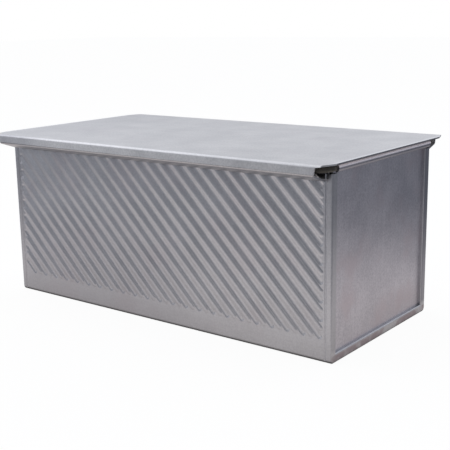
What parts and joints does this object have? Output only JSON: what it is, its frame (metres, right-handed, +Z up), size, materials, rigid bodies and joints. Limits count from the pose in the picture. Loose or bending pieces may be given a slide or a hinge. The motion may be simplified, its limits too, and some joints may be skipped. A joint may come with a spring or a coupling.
{
  "type": "lidded loaf pan",
  "caption": "Square-sided loaf pan of folded sheet metal with slanting ribs in its long walls, a wired rim and a flat lid that slides along it.",
  "frame": {"origin": "middle of the resting face, at the height of the flat bottom", "axes": "X runs along the pan and is the way the lid slides, Y across it, Z up; the pan is ribbed on both long walls, which face -Y and +Y"},
  "size_m": [0.2392, 0.1318, 0.1021],
  "materials": {
    "pan_sheet": "dull aluminised sheet, fine matt grain",
    "lid_sheet": "dull aluminised sheet, fine matt grain",
    "wire": "plain drawn wire"
  },
  "bodies": {
    "pan": {"body_sheet": "pan_sheet", "end_plate_left": "pan_sheet", "end_plate_right": "pan_sheet", "rim_wire": "wire"},
    "lid": {"lid": "lid_sheet"}
  },
  "joints": [
    {"name": "lid_slide", "type": "slide", "parent": "pan", "child": "lid", "axis": [1, 0, 0], "range_m": [-0.245, 0.245]}
  ]
}
